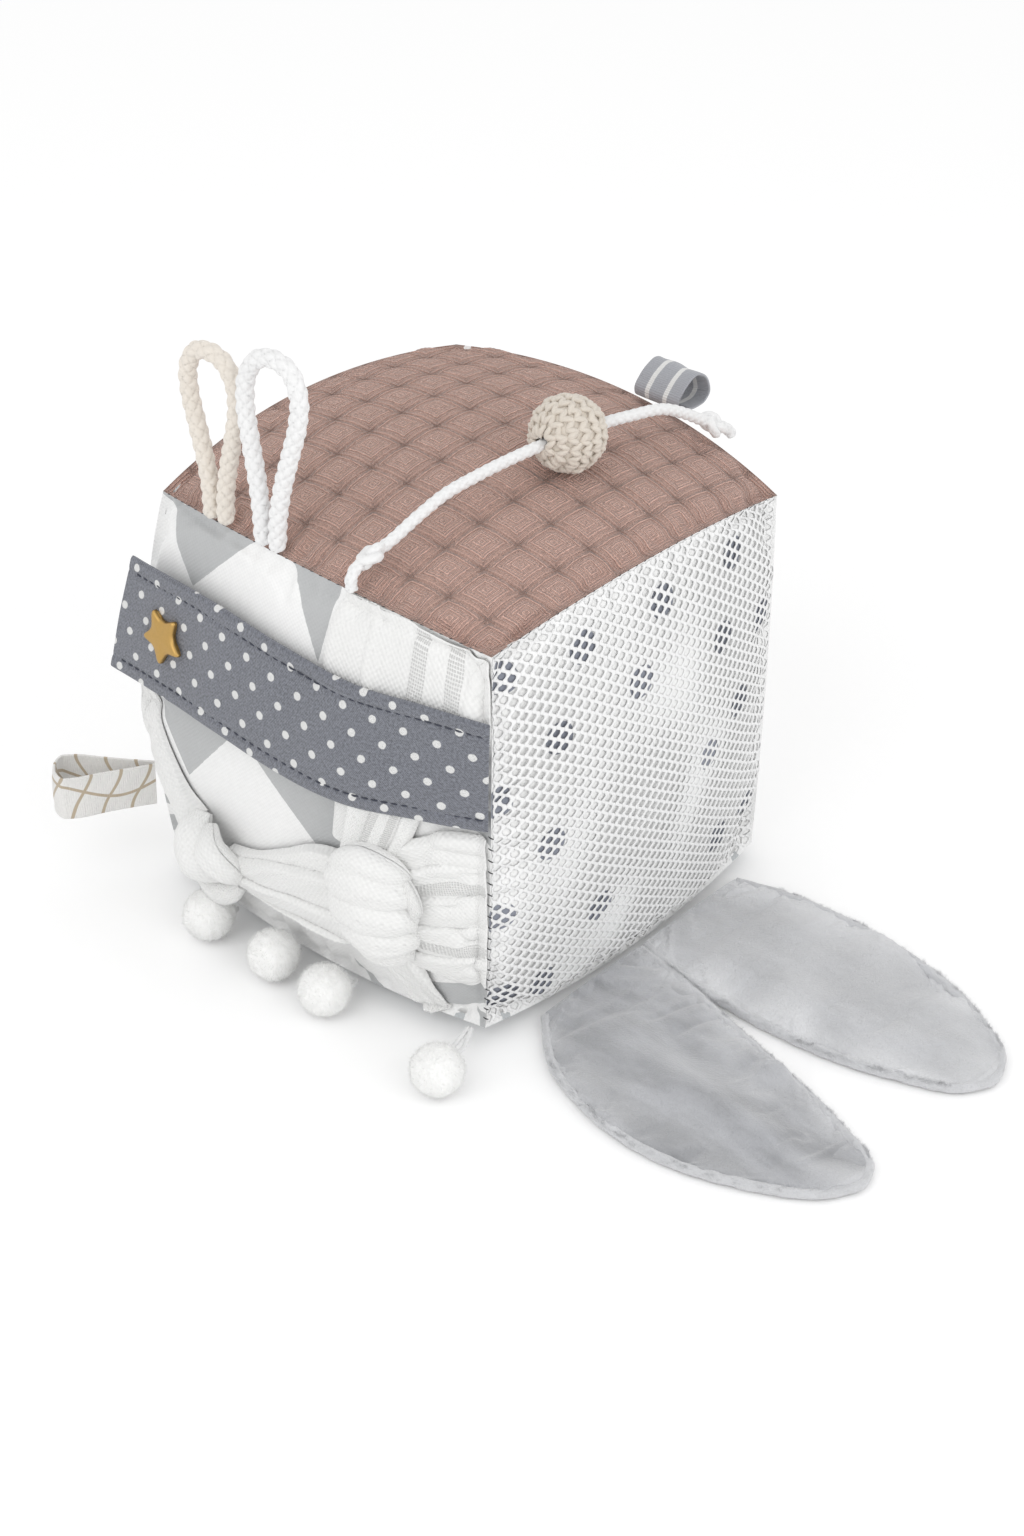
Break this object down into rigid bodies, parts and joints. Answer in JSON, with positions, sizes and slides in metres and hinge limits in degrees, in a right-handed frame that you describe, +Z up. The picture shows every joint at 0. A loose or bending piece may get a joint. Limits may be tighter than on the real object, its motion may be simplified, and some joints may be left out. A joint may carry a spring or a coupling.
{
  "type": "soft fabric block",
  "caption": "Stuffed fabric cube for a baby, with cord loops, a sliding bead, a snap strap, ribbon loops, knotted muslin, pompoms and plush ears.",
  "frame": {"origin": "middle of the pressed flat patch under the block", "axes": "+Z up, -Y toward the front with the strap, +X toward the netted side with the ears"},
  "size_m": [0.2827, 0.1803, 0.2038],
  "materials": {
    "waffle": "dusty brown waffle cotton",
    "print_white": "white cotton with a grey triangle print",
    "dots_white": "white cotton with grey dots",
    "plain_white": "white cotton",
    "plain_grey": "grey cotton",
    "net": "openwork white net",
    "stuffing": "polyester fibre filling",
    "strap_fabric": "blue-grey cotton with small white dots",
    "gold": "satin gold",
    "steel": "plain snap metal",
    "cord_beige": "beige braided cord",
    "cord_white": "white braided cord",
    "crochet": "crocheted cotton",
    "bead_wood": "plain wood",
    "striped_ribbon": "grey ribbon with white stripes",
    "lined_ribbon": "white ribbon with fine tan lines",
    "pompom_yarn": "white yarn",
    "muslin": "white muslin",
    "plush": "short grey plush",
    "plush_backing": "short grey plush"
  },
  "bodies": {
    "block": {"panel_top": "waffle", "panel_front": "print_white", "panel_right": "dots_white", "panel_left": "plain_white", "panel_back": "plain_white", "panel_bottom": "plain_grey", "net_overlay": "net", "filling": "stuffing", "snap_stud": "steel", "bead_cord": "cord_white", "muslin_upright": "muslin", "muslin_tail": "muslin", "muslin_across": "muslin", "muslin_bridge": "muslin", "muslin_corner_tail": "muslin", "muslin_knot_large": "muslin", "muslin_knot_small": "muslin"},
    "strap": {"strap": "strap_fabric", "star_cap": "gold", "snap_socket": "steel"},
    "beige_loop": {"cord_loop_beige": "cord_beige"},
    "white_loop": {"cord_loop_white": "cord_white"},
    "bead": {"bead_core": "bead_wood"},
    "bead_turning": {"bead_cover": "crochet"},
    "striped_tag": {"tag_striped": "striped_ribbon"},
    "lined_tag": {"tag_lined": "lined_ribbon"},
    "near_ear": {"ear_near_plush": "plush", "ear_near_backing": "plush_backing"},
    "far_ear": {"ear_far_plush": "plush", "ear_far_backing": "plush_backing"},
    "pompom_hanging_1": {"pompom_1": "pompom_yarn", "pompom_thread_1": "cord_white"},
    "pompom_hanging_2": {"pompom_2": "pompom_yarn", "pompom_thread_2": "cord_white"},
    "pompom_hanging_3": {"pompom_3": "pompom_yarn", "pompom_thread_3": "cord_white"},
    "pompom_hanging_4": {"pompom_4": "pompom_yarn", "pompom_thread_4": "cord_white"}
  },
  "joints": [
    {"name": "strap_swing", "type": "hinge", "parent": "block", "child": "strap", "pos_m": [0.0665, -0.07031, 0.0985], "axis": [0, 0, 1], "range_deg": [0, 150]},
    {"name": "beige_loop_bend", "type": "hinge", "parent": "block", "child": "beige_loop", "pos_m": [-0.0364, -0.06878, 0.1435], "axis": [1, 0, 0], "range_deg": [-55, 75], "stiffness_Nm_per_rad": 0.01},
    {"name": "white_loop_bend", "type": "hinge", "parent": "block", "child": "white_loop", "pos_m": [-0.0143, -0.07023, 0.14378], "axis": [1, 0, 0], "range_deg": [-55, 75], "stiffness_Nm_per_rad": 0.01},
    {"name": "bead_travel", "type": "hinge", "parent": "block", "child": "bead", "pos_m": [0.02894, 0.00133, -0.07104], "axis": [-0.9902, 0.1395, 0], "range_deg": [-8.5, 7]},
    {"name": "bead_spin", "type": "hinge", "parent": "bead", "child": "bead_turning", "pos_m": [0.02977, 0.00727, 0.16388], "axis": [0.1394, 0.9899, -0.0255], "continuous": true},
    {"name": "striped_tag_bend", "type": "hinge", "parent": "block", "child": "striped_tag", "pos_m": [0.01593, 0.07111, 0.14505], "axis": [1, 0, 0], "range_deg": [-40, 10], "stiffness_Nm_per_rad": 0.005},
    {"name": "lined_tag_bend", "type": "hinge", "parent": "block", "child": "lined_tag", "pos_m": [-0.07146, -0.06691, 0.033], "axis": [0, 0, 1], "range_deg": [-22, 22], "stiffness_Nm_per_rad": 0.005},
    {"name": "near_ear_lift", "type": "hinge", "parent": "block", "child": "near_ear", "pos_m": [0.07077, -0.02145, 0.00335], "axis": [0, -1, 0], "range_deg": [-80, 75]},
    {"name": "far_ear_lift", "type": "hinge", "parent": "block", "child": "far_ear", "pos_m": [0.07062, 0.026, 0.00335], "axis": [0, -1, 0], "range_deg": [-80, 75]},
    {"name": "pompom_swing_1", "type": "hinge", "parent": "block", "child": "pompom_hanging_1", "pos_m": [-0.0338, -0.07028, 0.00491], "axis": [1, 0, 0], "range_deg": [-15, 85]},
    {"name": "pompom_swing_2", "type": "hinge", "parent": "block", "child": "pompom_hanging_2", "pos_m": [-0.00487, -0.07187, 0.00451], "axis": [1, 0, 0], "range_deg": [-15, 85]},
    {"name": "pompom_swing_3", "type": "hinge", "parent": "block", "child": "pompom_hanging_3", "pos_m": [0.01852, -0.07141, 0.00462], "axis": [1, 0, 0], "range_deg": [-15, 85]},
    {"name": "pompom_swing_4", "type": "hinge", "parent": "block", "child": "pompom_hanging_4", "pos_m": [0.06045, -0.06671, 0.0058], "axis": [1, 0, 0], "range_deg": [-55, 85]}
  ]
}
